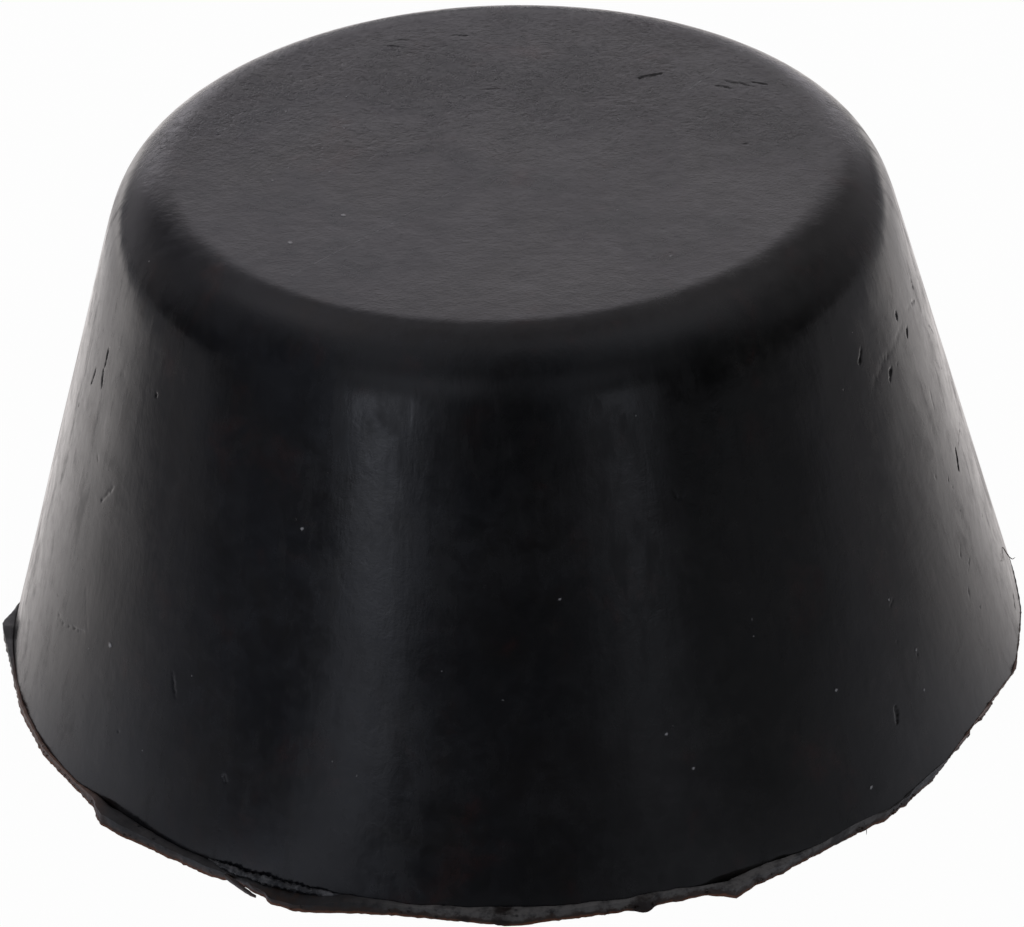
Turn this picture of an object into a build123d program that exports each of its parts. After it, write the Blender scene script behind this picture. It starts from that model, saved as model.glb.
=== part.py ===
"""Lift rubber pad: a solid moulded rubber buffer in the form of a truncated cone.

The pad stands on its wide foot. Its crown is flat, with a large moulded radius that runs into a
steeply drafted side wall. The mould parts at the foot, and rubber that was squeezed out there left
a thin sheet of flash. The flash was trimmed by hand in straight knife strokes, so the foot has a
many-sided skirt. Five strokes held the blade at a slant and shaved the foot's own lower edge.

Units are millimetres. The origin is the centre of the foot, on the surface that the pad stands
on. +Z points up through the crown, and -Y is the side that faces the user.
"""

import os
from math import cos, radians, sin

from build123d import *

# Driving dimensions
foot_diameter = 100.0  # of the side wall, where it meets the flash
crown_corner_diameter = 72.0  # where the side wall would meet the crown if the edge were sharp
height = 52.5
crown_radius = 7.0
flash_thickness = 1.2
flash_overhang = 4.0  # how far the sheet of flash ran out before it was trimmed

# The knife strokes, in order round the foot. Each is the bearing of the stroke's outward side,
# its distance from the axis at the floor, and how far the blade leaned outwards as it rose.
knife_strokes = [
    (-170.0, 50.15, 0.0),
    (-161.0, 50.2, 0.0),
    (-150.5, 50.15, 0.0),
    (-130.0, 50.85, 0.0),
    (-102.5, 50.45, 0.0),
    (-82.0, 50.55, 0.0),
    (-75.0, 50.25, 0.0),
    (-51.7, 49.6, 12.0),
    (-38.0, 49.3, 18.0),
    (-27.5, 48.45, 28.0),
    (-7.8, 49.42, 16.0),
    (4.4, 49.46, 3.0),
    (31.0, 50.35, 0.0),
    (54.0, 50.15, 0.0),
    (75.0, 50.55, 0.0),
    (98.0, 50.2, 0.0),
    (119.0, 50.6, 0.0),
    (143.0, 50.25, 0.0),
    (168.0, 50.5, 0.0),
]

foot_radius = foot_diameter / 2
crown_corner = crown_corner_diameter / 2
sheet_radius = foot_radius + flash_overhang


def knife_plane(bearing, reach, lean):
    """The flat face that one stroke leaves. Its normal points away from the pad."""
    out_x = cos(radians(bearing))
    out_y = sin(radians(bearing))
    level = cos(radians(lean))
    return Plane(
        origin=(reach * out_x, reach * out_y, 0),
        x_dir=(-out_y, out_x, 0),
        z_dir=(level * out_x, level * out_y, -sin(radians(lean))),
    )


with BuildPart() as rubber_pad:
    with BuildSketch(Plane.XZ) as half_section:
        with BuildLine():
            Polyline(
                (0, 0),
                (sheet_radius, 0),
                (sheet_radius, flash_thickness),
                (foot_radius, flash_thickness),
                (crown_corner, height),
                (0, height),
                close=True,
            )
        make_face()
        crown_edge = half_section.vertices().group_by(Axis.Y)[-1].sort_by(Axis.X)[-1]
        fillet(crown_edge, radius=crown_radius)
    revolve(axis=Axis.Z)
    for bearing, reach, lean in knife_strokes:
        split(bisect_by=knife_plane(bearing, reach, lean), keep=Keep.BOTTOM)

rubber_pad.part.label = "rubber_pad"

os.makedirs("parts", exist_ok=True)
export_step(rubber_pad.part, "parts/rubber_pad.step")
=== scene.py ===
"""Lift rubber pad: the finished look of a solid rubber buffer with a knife-trimmed foot.

The pad is one moulding. Its surface is turned about the vertical axis in bands: the underside, the
cut edge, the top of the flash, the side wall, the shoulder and the crown. The outline of the flash
follows the straight strokes of the knife that trimmed it. Loose crumbs, a sliver that the knife left
hanging, a strip it rolled up and hairs of flash are small pieces of their own; specks of dust are
raised on the skin.

Lengths are written in millimetres and turned into metres by MM. +Z is up through the crown, and
-Y is the side that faces the user.
"""

from math import asin, atan2, cos, log, pi, radians, sin, tan

import bmesh
import bpy
import numpy as np
from mathutils import Matrix, Vector
from mathutils import noise as lattice
from mathutils.kdtree import KDTree


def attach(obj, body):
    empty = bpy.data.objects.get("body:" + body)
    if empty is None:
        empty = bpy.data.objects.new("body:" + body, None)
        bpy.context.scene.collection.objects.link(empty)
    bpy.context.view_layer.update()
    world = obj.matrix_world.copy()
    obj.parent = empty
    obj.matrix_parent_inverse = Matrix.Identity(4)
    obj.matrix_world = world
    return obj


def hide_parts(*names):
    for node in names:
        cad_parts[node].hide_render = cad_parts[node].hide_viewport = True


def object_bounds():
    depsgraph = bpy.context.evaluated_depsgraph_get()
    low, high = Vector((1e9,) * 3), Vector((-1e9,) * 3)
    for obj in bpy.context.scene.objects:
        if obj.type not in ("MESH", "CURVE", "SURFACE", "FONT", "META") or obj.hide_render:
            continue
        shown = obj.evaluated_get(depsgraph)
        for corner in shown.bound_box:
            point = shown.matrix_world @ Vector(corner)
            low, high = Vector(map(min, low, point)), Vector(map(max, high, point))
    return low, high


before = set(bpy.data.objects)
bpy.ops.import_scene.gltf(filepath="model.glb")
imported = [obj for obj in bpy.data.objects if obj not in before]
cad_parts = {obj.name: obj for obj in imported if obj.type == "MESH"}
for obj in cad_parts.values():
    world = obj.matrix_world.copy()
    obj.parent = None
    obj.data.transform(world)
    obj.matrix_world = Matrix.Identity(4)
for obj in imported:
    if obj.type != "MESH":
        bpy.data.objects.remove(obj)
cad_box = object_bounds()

MM = 0.001


# ---- Sizes ----

foot_radius = 50.0 * MM  # of the side wall, where it meets the flash
crown_corner = 36.0 * MM  # where the wall would meet the crown if the edge were sharp
pad_height = 52.5 * MM
crown_rounding = 7.0 * MM
flash_thickness = 1.2 * MM
columns = 1024  # round the pad, halved step by step where the surface is plainer

# The knife strokes, in order round the foot: the bearing of the stroke's outward side in degrees,
# its distance from the axis at the floor in millimetres, and how many degrees the blade leaned
# outwards as it rose.
knife_strokes = [
    (-170, 50.15, 0), (-161, 50.2, 0), (-150.5, 50.15, 0), (-130, 50.85, 0), (-102.5, 50.45, 0), (-82, 50.55, 0),
    (-75, 50.25, 0), (-51.7, 49.6, 12), (-38, 49.3, 18), (-27.5, 48.45, 28), (-7.8, 49.42, 16), (4.4, 49.46, 3),
    (31, 50.35, 0), (54, 50.15, 0), (75, 50.55, 0), (98, 50.2, 0), (119, 50.6, 0), (143, 50.25, 0), (168, 50.5, 0),
]

# Teeth of rubber that the knife missed: bearing and half width in degrees, and reach past the stroke
# in mm. A reach below 0 is a bite out of the edge.
rags = [
    (-68.1, 2.6, 1.35), (-77.9, 1.5, 0.75), (-77.1, 0.9, 0.3), (-73.6, 0.8, 0.2), (-112.3, 5, 0.75),
    (-114.4, 1.6, 0.35), (-107, 3, 0.2), (-121.6, 4.2, -0.85), (-118.4, 1.5, -0.35), (-141, 3, 0.65),
    (-142.4, 1.2, 0.2), (-91, 2.5, 0.2), (177.2, 1.5, 0.18), (173, 6, -0.8), (167, 7, -0.75), (-43.4, 0.9, 0.25),
    (-31, 0.8, 0.25), (-47.5, 1, 0.25), (-62, 1.4, 0.15), (-24.6, 0.5, 0.3), (38, 1.6, 0.45), (61, 1.2, 0.5),
    (88, 2.4, 0.4), (127, 1.6, 0.5), (151, 1.2, 0.45),
]

# Where the crease between flash and wall gapes or closes: bearing and half width in degrees, extra
# depth in mm
gaping = [
    (176, 14, -0.08), (-165.3, 0.8, 0.3), (-158, 2, 0.1), (-150, 4, 0.12), (-141.6, 1.7, 0.5), (-118, 9, -0.12),
    (-93, 20, -0.16), (-68.3, 3.7, 0.62), (-61.4, 0.9, 0.25), (-52.9, 0.9, 0.35), (-49.4, 1.1, 0.4), (-43, 0.7, 0.35),
    (12, 3, 0.3), (66, 4, 0.35), (109, 3, 0.3), (131, 2, 0.4), (158, 3, 0.25),
]

# Where the flash is thinner or thicker than elsewhere: bearing and half width in degrees, and mm
thinning = [(-157, 15, -0.25), (-118, 9, -0.55), (-68.5, 5, -0.35), (-30, 8, -0.15), (52, 9, -0.3), (137, 8, -0.25)]

# Marks pressed or cut into the side wall, in millimetres and degrees: bearing and height of one end,
# of the other end, width, depth. A mark whose ends meet is a round pit.
wall_marks = [
    # the scuffed right side, from the shoulder down
    (-9.3, 41.2, -9.3, 40.2, 0.45, 0.25), (-3.5, 41, -3.5, 39, 0.2, 0.1), (-10.8, 39.5, -12.6, 39.8, 0.42, 0.24),
    (-13.6, 40, -15.9, 40.3, 0.6, 0.12), (-19.8, 41.6, -20, 40.9, 0.5, 0.28), (-17.1, 39.4, -18.4, 38.4, 0.36, 0.34),
    (-18.3, 40, -22.1, 39.8, 0.6, 0.09), (-21.5, 39.6, -27.1, 39.4, 1.1, 0.07), (-26, 39.6, -32, 38.2, 1.3, 0.08),
    (-32.1, 42.2, -33.4, 41, 0.42, 0.24), (-25.8, 38.2, -27.3, 37.3, 0.46, 0.34),
    (-23.4, 38, -24.4, 37.7, 0.25, 0.12), (-7, 35.6, -4.4, 33.2, 0.15, 0.1), (-4.4, 32.1, -4.4, 32.1, 0.3, 0.12),
    (-7, 30.6, -7, 30.6, 0.3, 0.12), (-1.5, 27.4, -3, 25, 0.2, 0.15), (-15.9, 32, -16.3, 29.9, 0.5, 0.06),
    (-5.4, 24.1, -11.2, 23.8, 0.25, 0.12), (-12.4, 24.2, -13.8, 22.4, 0.5, 0.45),
    (-22.1, 25.3, -22.1, 25.3, 0.4, 0.18), (-18.3, 23.8, -18.8, 23.1, 0.3, 0.2),
    (-17.9, 22.3, -17.9, 22.3, 0.25, 0.15), (-17.4, 19.8, -17.9, 19, 0.2, 0.12),
    (-20.5, 17.8, -21.6, 16.4, 0.3, 0.13), (-18.7, 15.4, -20.7, 14.5, 0.3, 0.12),
    (-21.9, 13.4, -22.3, 12.2, 0.35, 0.16), (-5.3, 4.3, -7.3, 3.4, 0.4, 0.2), (-20.1, 10.4, -20.1, 10.4, 0.3, 0.12),
    (-38.2, 19.3, -39.4, 18.6, 0.28, 0.12), (-9.6, 15.4, -9.6, 15.4, 0.3, 0.12),
    (-39.5, 15.3, -39.5, 15.3, 0.28, 0.12), (-23, 5, -23, 5, 0.28, 0.12), (-36.5, 13.1, -36.6, 12.3, 0.28, 0.12),
    (-42.2, 9.9, -42.6, 8.2, 0.5, 0.25),
    # the left side
    (-162.6, 37.9, -161.8, 36.1, 0.45, 0.32), (-162.2, 40.4, -162.3, 38.2, 0.42, 0.25),
    (-165.6, 36.9, -166.3, 35, 0.45, 0.32), (-169.8, 33.1, -170, 30.8, 0.22, 0.12),
    (-146.3, 40.7, -146.3, 40.7, 0.4, 0.28), (-156.5, 39.6, -155.3, 39.9, 0.8, 0.1),
    (-158.9, 30.6, -157.8, 30.1, 0.25, 0.09), (-155, 27.2, -152.3, 29.5, 0.5, 0.12),
    (-154.6, 19, -152, 14.6, 0.9, 0.05), (-156.9, 13.4, -152.5, 14.7, 0.35, 0.14),
    (-160.5, 13.3, -158, 13, 0.6, 0.14), (-135, 16.9, -134, 14.6, 0.4, 0.12), (-160.7, 5.3, -160.7, 5.3, 0.28, 0.12),
    (-153.4, 4.4, -153.4, 4.4, 0.28, 0.12), (-150.1, 9, -150.1, 9, 0.3, 0.14), (-142.3, 8.4, -142.3, 8.4, 0.32, 0.16),
    (-125.7, 9.5, -125.1, 8.8, 0.5, 0.28), (-127.2, 3.1, -125.2, 4.2, 0.16, 0.05),
    (-125.9, 2.1, -124.6, 2.3, 0.14, 0.05), (-133.5, 2.2, -131.8, 2.6, 0.14, 0.05),
    # a small V in the front
    (-68.6, 37.8, -67.9, 36.6, 0.3, 0.05), (-67.9, 36.6, -66.6, 37.5, 0.3, 0.05),
    # out of sight, of the same kinds
    (24, 36, 25.5, 34.2, 0.4, 0.22), (41, 22, 42, 19.6, 0.3, 0.12), (58, 31, 58, 31, 0.34, 0.16),
    (83, 12, 85.6, 12.8, 0.36, 0.16), (97, 38, 98.4, 36.6, 0.42, 0.26), (121, 17, 121, 17, 0.36, 0.16),
    (144, 27.5, 146, 25, 0.3, 0.14), (163, 9, 163, 9, 0.34, 0.16),
]

# Marks in the crown: the x and y of one end and of the other, width, depth, in millimetres
crown_marks = [
    (13.4, 15.4, 16.2, 16.2, 0.5, 0.3), (14, -2.9, 14, -2.9, 0.36, 0.25), (14.8, -15.1, 14.8, -15.1, 0.3, 0.18),
    (23, 1, 23.6, 1.1, 0.4, 0.14), (25, -1.5, 25, -1.5, 0.28, 0.1), (15.4, -19.5, 15.4, -19.5, 0.26, 0.1),
    (22.1, 14, 24.9, 12.6, 0.6, 0.18), (21, 13.2, 22.8, 12.4, 0.4, 0.14), (24.6, 13.6, 26.2, 13, 0.3, 0.14),
    (-1.6, 14.4, 0.3, 14.2, 0.4, 0.14), (-10.6, 24.2, -8.8, 23.6, 0.45, 0.16), (-9.9, 25.4, -8.4, 25.2, 0.35, 0.14),
    (-4.2, 25.9, -2.6, 25.7, 0.35, 0.12),
]

# Shallow round dents: bearing, height, radius and depth on the wall; x, y, radius and depth on the crown
wall_dents = [
    (-126.9, 43.9, 1.7, 0.02), (-118, 44.6, 1.3, 0.014), (-105.1, 46.4, 2.2, 0.03), (-88, 24, 3, 0.03),
    (-96, 33, 4, 0.035), (-28, 30, 5, 0.06), (-45, 44.5, 2.6, 0.05), (-148, 24, 5, 0.06), (-160, 33, 4, 0.06),
]
crown_dents = [(1.5, -23.7, 2.6, 0.02), (0.6, -13.2, 2.2, 0.015), (2, -5, 2, 0.012), (-8, 3, 4, 0.012)]

# Specks of dust: x and y on the crown, bearing and height on the wall, and size in millimetres
crown_specks = [
    (-19.7, -14.9, 0.34), (-14.8, -9.9, 0.38), (-16.1, -1.3, 0.24), (-14.8, 7.4, 0.24), (-19, 17.4, 0.2),
    (-20.4, 11.2, 0.2), (10.8, -10.9, 0.22), (15.4, -20.1, 0.2), (-21.5, -2.6, 0.2), (-10.6, 2.4, 0.2),
]
wall_specks = [
    (-146.7, 15.6, 0.36), (-118.1, 34.4, 0.24), (-73.2, 15.7, 0.26), (-70.5, 12, 0.26), (-84.6, 29.5, 0.2),
    (-50.6, 14.4, 0.26), (-48.5, 4, 0.26), (-36.6, 13.3, 0.22), (-39.2, 19.4, 0.22), (-36.9, 9.3, 0.2),
    (-46.5, 50.9, 0.2), (-92, 20.5, 0.16), (-60.4, 24, 0.16), (-109, 12.6, 0.16), (74, 21, 0.26), (118, 33, 0.24),
    (31, 14, 0.24), (152, 11, 0.26),
]

# Spots: x, y and z of the middle, and radius, in millimetres. Where the cut edge is coloured darker,
# and where the wall is dull
dark_edge_spots = [
    ((-2.4, -50.5, 0.5), 1.6), ((10.8, -49.5, 0.3), 1.9), ((-6, -50.6, 0.2), 0.9), ((29.6, -40.3, 0.9), 1.6),
]
dull_spots = [((-11.2, -36.1, 46), 3.2), ((1.3, -38.6, 43), 4.8), ((0.9, -40.1, 38), 4.2)]

# Faint light scuffs: start, end and width in millimetres
scuffs = [
    ((-21.1, -22.7, 52.4), (-9.5, -11.1, 52.4), 0.16), ((-9, -10.2, 52.4), (-3, -4.6, 52.4), 0.1),
    ((18, 12, 52.4), (24, 20, 52.4), 0.1),
]

# Crumbs left along the cut edge: bearings from and to, how many, their size and reach past the stroke
# in millimetres
crumb_rows = [
    (-82.4, -79.4, 14, 0.2, 0.1), (-79, -76.4, 18, 0.26, 0.5), (-29.6, -27.6, 7, 0.24, 0.2),
    (-25.8, -24.4, 6, 0.26, 0.3), (-22.9, -21.7, 4, 0.22, 0.25), (-52.2, -50.2, 4, 0.2, 0.15),
    (-71.2, -69.8, 8, 0.18, 0.2), (-67, -62, 10, 0.16, 0.05), (-48.5, -42, 10, 0.16, 0.1),
    (-158, -126, 26, 0.13, 0.05), (-112, -103, 10, 0.14, 0.05), (28, 44, 14, 0.22, 0.2), (84, 97, 12, 0.22, 0.15),
    (122, 140, 14, 0.2, 0.2),
]

# Thin strips of rubber along the foot, each point as bearing, radius, height, half width and half
# thickness in degrees and millimetres
ribbons = {
    # cut loose at one end, and standing off the edge
    "knife_sliver": [
        (-124.2, 50.55, 0.5, 0.06, 0.2), (-123.2, 50.85, 0.46, 0.16, 0.34), (-122.2, 51.1, 0.4, 0.18, 0.34),
        (-121.2, 51.38, 0.36, 0.17, 0.31), (-120.3, 51.66, 0.32, 0.16, 0.27), (-119.5, 51.92, 0.28, 0.15, 0.23),
        (-118.9, 51.98, 0.26, 0.08, 0.14),
    ],
    # rolled up onto the flash where two strokes met
    "rolled_lip": [
        (-126.5, 50, 1.1, 0.05, 0.04), (-124.6, 50.24, 1.1, 0.24, 0.25), (-122.8, 50.3, 1.08, 0.32, 0.35),
        (-121.2, 50.32, 1.02, 0.27, 0.28), (-119.8, 50.34, 1.06, 0.36, 0.39), (-118.4, 50.34, 1.1, 0.44, 0.46),
        (-117, 50.3, 1.02, 0.29, 0.3), (-115.6, 50.32, 1.06, 0.38, 0.4), (-114, 50.24, 1, 0.27, 0.28),
        (-112.2, 50.22, 1.04, 0.31, 0.32), (-110.2, 50.08, 1.02, 0.17, 0.17), (-107.6, 49.92, 1.08, 0.05, 0.04),
    ],
    # hairs of flash
    "edge_whisker": [
        (-50.6, 50.1, 1.3, 0.05, 0.05), (-50.8, 50.45, 1.15, 0.06, 0.06), (-50.9, 50.7, 0.85, 0.05, 0.05),
        (-51.1, 50.85, 0.5, 0.02, 0.02),
    ],
    "wall_whisker": [
        (-2.4, 48.1, 8.1, 0.04, 0.04), (-2.6, 48.36, 7.7, 0.05, 0.05), (-2.7, 48.72, 7.1, 0.05, 0.05),
        (-2.6, 49.05, 6.75, 0.05, 0.05), (-2.4, 49.35, 6.9, 0.02, 0.02),
    ],
}


# ---- Node wiring ----

class Field:
    """A value that varies over a surface. Arithmetic on it adds nodes to its tree."""

    def __init__(self, graph, socket):
        self.graph, self.socket = graph, socket

    def __add__(self, other):
        return self.graph.math("ADD", self, other)

    __radd__ = __add__

    def __sub__(self, other):
        return self.graph.math("SUBTRACT", self, other)

    def __rsub__(self, other):
        return self.graph.math("SUBTRACT", other, self)

    def __mul__(self, other):
        return self.graph.math("MULTIPLY", self, other)

    __rmul__ = __mul__

    def __truediv__(self, other):
        return self.graph.math("DIVIDE", self, other)

    def __rtruediv__(self, other):
        return self.graph.math("DIVIDE", other, self)

    def __neg__(self):
        return self.graph.math("MULTIPLY", self, -1.0)


class Graph:
    """Short ways to add the nodes of one tree and join them."""

    def __init__(self, tree):
        self.tree = tree

    def feed(self, socket, value):
        if isinstance(value, Field):
            self.tree.links.new(value.socket, socket)
        elif isinstance(value, bpy.types.NodeSocket):
            self.tree.links.new(value, socket)
        else:
            socket.default_value = value

    def node(self, kind, inputs=None, **settings):
        made = self.tree.nodes.new(kind)
        for name, value in settings.items():
            setattr(made, name, value)
        for name, value in (inputs or {}).items():
            self.feed(made.inputs[name], value)
        return made

    def field(self, kind, inputs=None, output=0, **settings):
        return Field(self, self.node(kind, inputs, **settings).outputs[output])

    def math(self, operation, *values):
        return self.field("ShaderNodeMath", dict(enumerate(values)), operation=operation)

    def vector(self, operation, *values, output=0):
        return self.field("ShaderNodeVectorMath", dict(enumerate(values)), output, operation=operation)

    def scaled(self, vector, factor):
        made = self.vector("SCALE", vector)
        self.feed(made.socket.node.inputs["Scale"], factor)
        return made

    def around(self, radius, bearing, level):
        """The place at a radius on a bearing, at a height."""
        return self.combine(radius * self.math("COSINE", bearing), radius * self.math("SINE", bearing), level)

    def least(self, a, b):
        return self.math("MINIMUM", a, b)

    def most(self, a, b):
        return self.math("MAXIMUM", a, b)

    def ramp(self, value, low, high, to_low=0.0, to_high=1.0):
        """value taken from the range low to high into to_low to to_high, and held past its ends."""
        inputs = {"Value": value, "From Min": low, "From Max": high, "To Min": to_low, "To Max": to_high}
        return self.field("ShaderNodeMapRange", inputs, interpolation_type="SMOOTHSTEP", clamp=True)

    def between(self, a, b, part):
        """a where part is 0, and b where it is 1."""
        return a + (b - a) * part

    def combine(self, x, y, z):
        return self.field("ShaderNodeCombineXYZ", {"X": x, "Y": y, "Z": z})

    def split(self, vector):
        parts = self.node("ShaderNodeSeparateXYZ", {"Vector": vector})
        return [Field(self, socket) for socket in parts.outputs]

    def noise(self, vector, scale, detail=2.0, roughness=0.5, distortion=0.0):
        inputs = {"Vector": vector, "Scale": scale, "Detail": detail, "Roughness": roughness,
                  "Distortion": distortion}
        return self.field("ShaderNodeTexNoise", inputs, noise_type="FBM", normalize=True)

    def use(self, group, inputs=None):
        """A group placed in this tree; its outputs by name."""
        kind = "GeometryNodeGroup" if self.tree.bl_idname == "GeometryNodeTree" else "ShaderNodeGroup"
        placed = self.node(kind, node_tree=group)
        for name, value in (inputs or {}).items():
            self.feed(placed.inputs[name], value)
        return {socket.name: Field(self, socket) for socket in placed.outputs}


def new_group(name, kind, inputs, outputs):
    """An empty group with named sockets: its graph, its inputs by name and its output node. A socket is
    written as its label and, if it is not a plain number, a colon and its type."""
    tree = bpy.data.node_groups.new(name, kind)
    for side, sockets in (("INPUT", inputs), ("OUTPUT", outputs)):
        for socket in sockets.split(", "):
            label, _, socket_type = socket.partition(":")
            tree.interface.new_socket(name=label, in_out=side, socket_type="NodeSocket" + (socket_type or "Float"))
    graph = Graph(tree)
    entry = graph.node("NodeGroupInput")
    exit_node = graph.node("NodeGroupOutput")
    given = {socket.name: Field(graph, socket) for socket in entry.outputs if socket.name}
    return graph, given, exit_node


def place_object(name, data):
    """A new object in the scene, made of a mesh or a camera."""
    placed = bpy.data.objects.new(name, data)
    bpy.context.scene.collection.objects.link(placed)
    return placed


def mesh_object(name, bm, material):
    """A new object in the scene with the faces of bm, all of one material. It uses bm up."""
    mesh = bpy.data.meshes.new(name)
    bm.to_mesh(mesh)
    bm.free()
    mesh.materials.append(material)
    return place_object(name, mesh)


def grown_mesh(name, tree, values):
    """The plain mesh that a geometry tree makes from its named values, as an object at the origin."""
    holder = place_object(name + "_source", bpy.data.meshes.new(name + "_source"))
    modifier = holder.modifiers.new("grow", "NODES")
    modifier.node_group = tree
    sockets = {item.name: item.identifier for item in tree.interface.items_tree
               if item.item_type == "SOCKET" and item.in_out == "INPUT"}
    for label, value in values.items():
        modifier[sockets[label]] = value
    graph = bpy.context.evaluated_depsgraph_get()
    mesh = bpy.data.meshes.new_from_object(holder.evaluated_get(graph), depsgraph=graph)
    holder.modifiers.remove(modifier)
    bpy.data.objects.remove(holder)
    mesh.name = name
    for index in reversed(range(len(mesh.materials))):
        if mesh.materials[index] is None:
            mesh.materials.pop(index=index)
    return place_object(name, mesh)


# ---- Materials ----

def start_material(name):
    material = bpy.data.materials.new(name)
    material.use_nodes = True
    material.node_tree.nodes.clear()
    graph = Graph(material.node_tree)
    shader = graph.node("ShaderNodeBsdfPrincipled")
    surface = graph.node("ShaderNodeOutputMaterial", {"Surface": shader.outputs[0]})
    return material, graph, shader, surface


def spotted(graph, place, spots, uneven):
    """1 inside any of the spots, fading unevenly to 0 outside."""
    mask = 0.0
    for middle, radius in spots:
        away = graph.vector("DISTANCE", place, middle, output=1) + (uneven - 0.5) * (radius * 1.2)
        mask = graph.most(1.0 - graph.ramp(away, radius * 0.35, radius), mask)
    return mask


def mix_colour(graph, part, a, b):
    inputs = {0: part, 6: a, 7: b}
    return graph.field("ShaderNodeMix", inputs, 2, data_type="RGBA", blend_type="MIX")


def paint(g, shader, colour, roughness, height, strength=1.0):
    """Sets a shader's colour, its roughness, and its bump from a height in millimetres."""
    bump = g.node("ShaderNodeBump", {"Height": height, "Strength": strength, "Distance": MM})
    for name, value in (("Base Color", colour), ("Roughness", roughness), ("Normal", bump.outputs[0])):
        g.feed(shader.inputs[name], value)


def in_millimetres(graph):
    """Object coordinates of the surface, in millimetres."""
    return graph.scaled(graph.field("ShaderNodeTexCoord", output="Object"), 1 / MM)


def grain_group():
    """The mould's fine grain, from specks to soft lumps."""
    g, given, out = new_group("Mould grain", "ShaderNodeTree", "Place:Vector, Size", "Height")
    scaled = g.scaled(given["Place"], 1.0 / given["Size"])
    fine = g.noise(scaled, 2.4, 3.0, 0.6)
    lumps = g.noise(scaled, 0.45, 2.0, 0.5)
    g.feed(out.inputs["Height"], fine * 0.45 + lumps * 0.55)
    return g.tree


def leather_group():
    """Fine folded wrinkles in patches."""
    inputs = "Place:Vector, Fold Size, Patch Size"
    g, given, out = new_group("Leathery wrinkles", "ShaderNodeTree", inputs, "Height, Patch")
    scaled = g.scaled(given["Place"], 1.0 / given["Fold Size"])
    across = g.vector("MULTIPLY", scaled, (1.30, 0.85, 1.0))
    folds = g.noise(across, 1.25, 4.0, 0.68, 0.3)
    ridges = 1.0 - g.math("ABSOLUTE", folds - 0.5) * 5.0
    broad = g.scaled(given["Place"], 1.0 / given["Patch Size"])
    patch = g.ramp(g.noise(broad, 1.0, 5.0, 0.66, 0.4), 0.34, 0.68)
    g.feed(out.inputs["Height"], folds * 0.65 + g.most(ridges, 0.0) * 0.35)
    g.feed(out.inputs["Patch"], patch)
    return g.tree


def drag_group():
    """Upright hair lines left where the rubber slid out of its mould."""
    inputs = "Place:Vector, Line Width, Line Length"
    g, given, out = new_group("Drag lines", "ShaderNodeTree", inputs, "Lines, Height")
    x, y, z = g.split(given["Place"])
    around = g.vector("NORMALIZE", g.combine(x, y, 0.0))
    spread = g.scaled(around, 50.0 / given["Line Width"])
    drawn = g.vector("ADD", spread, g.combine(0.0, 0.0, z / given["Line Length"]))
    lines = g.noise(drawn, 0.55, 4.0, 0.65, 0.25)
    g.feed(out.inputs["Lines"], g.ramp(lines, 0.50, 0.72))
    g.feed(out.inputs["Height"], lines)
    return g.tree


def bloom_group():
    """The dull, greasy film that comes out of rubber: soft clouds, finer mottling and wiped streaks."""
    inputs = "Place:Vector, Cloud Size"
    g, given, out = new_group("Bloom", "ShaderNodeTree", inputs, "Film, Mottle")
    scaled = g.scaled(given["Place"], 1.0 / given["Cloud Size"])
    clouds = g.ramp(g.noise(scaled, 1.0, 5.0, 0.60, 0.6), 0.26, 0.74)
    turned = g.vector("ADD", scaled, (7.3, 2.1, 4.4))
    mottle = g.ramp(g.noise(turned, 4.5, 5.0, 0.68, 0.3), 0.28, 0.72)
    g.feed(out.inputs["Film"], clouds)
    g.feed(out.inputs["Mottle"], mottle)
    return g.tree


def tint_group():
    """Faint warm and cool blotches in black rubber."""
    inputs = "Place:Vector, Blotch Size, Cool:Color, Warm:Color, Rust:Color"
    g, given, out = new_group("Rubber tint", "ShaderNodeTree", inputs, "Color:Color")
    scaled = g.scaled(given["Place"], 1.0 / given["Blotch Size"])
    warmth = g.ramp(g.noise(scaled, 1.0, 4.0, 0.6, 0.5), 0.42, 0.66)
    moved = g.vector("ADD", scaled, (3.1, 8.7, 1.9))
    rust = g.ramp(g.noise(moved, 1.4, 5.0, 0.66, 0.3), 0.56, 0.80)
    g.feed(out.inputs["Color"], mix_colour(g, rust, mix_colour(g, warmth, given["Cool"], given["Warm"]), given["Rust"]))
    return g.tree


def speckle_group():
    """Sparse round spots: one in some of the cells of a broken grid."""
    inputs = "Place:Vector, Cell Size, Spot Size, Share"
    g, given, out = new_group("Speckle", "ShaderNodeTree", inputs, "Spot")
    scaled = g.scaled(given["Place"], 1.0 / given["Cell Size"])
    cells = g.node("ShaderNodeTexVoronoi", {"Vector": scaled, "Scale": 1.0}, feature="F1")
    distance = Field(g, cells.outputs["Distance"]) * given["Cell Size"]
    chance = g.split(Field(g, cells.outputs["Color"]))[0]
    chosen = g.math("LESS_THAN", chance, given["Share"])
    g.feed(out.inputs["Spot"], (1.0 - g.ramp(distance, given["Spot Size"] * 0.55, given["Spot Size"])) * chosen)
    return g.tree


def hairline_group():
    """A faint broken line between two points."""
    inputs = "Place:Vector, Start:Vector, End:Vector, Width"
    g, given, out = new_group("Hairline", "ShaderNodeTree", inputs, "Line")
    line = g.vector("SUBTRACT", given["End"], given["Start"])
    from_start = g.vector("SUBTRACT", given["Place"], given["Start"])
    along = g.vector("DOT_PRODUCT", from_start, line, output=1) / g.vector("DOT_PRODUCT", line, line, output=1)
    along = g.most(g.least(along, 1.0), 0.0)
    nearest = g.vector("MULTIPLY", line, g.combine(along, along, along))
    gap = g.vector("DISTANCE", from_start, nearest, output=1)
    broken = g.ramp(g.noise(given["Place"], 0.9, 2.0), 0.35, 0.6)
    g.feed(out.inputs["Line"], (1.0 - g.ramp(gap, 0.0, given["Width"])) * broken)
    return g.tree


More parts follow.
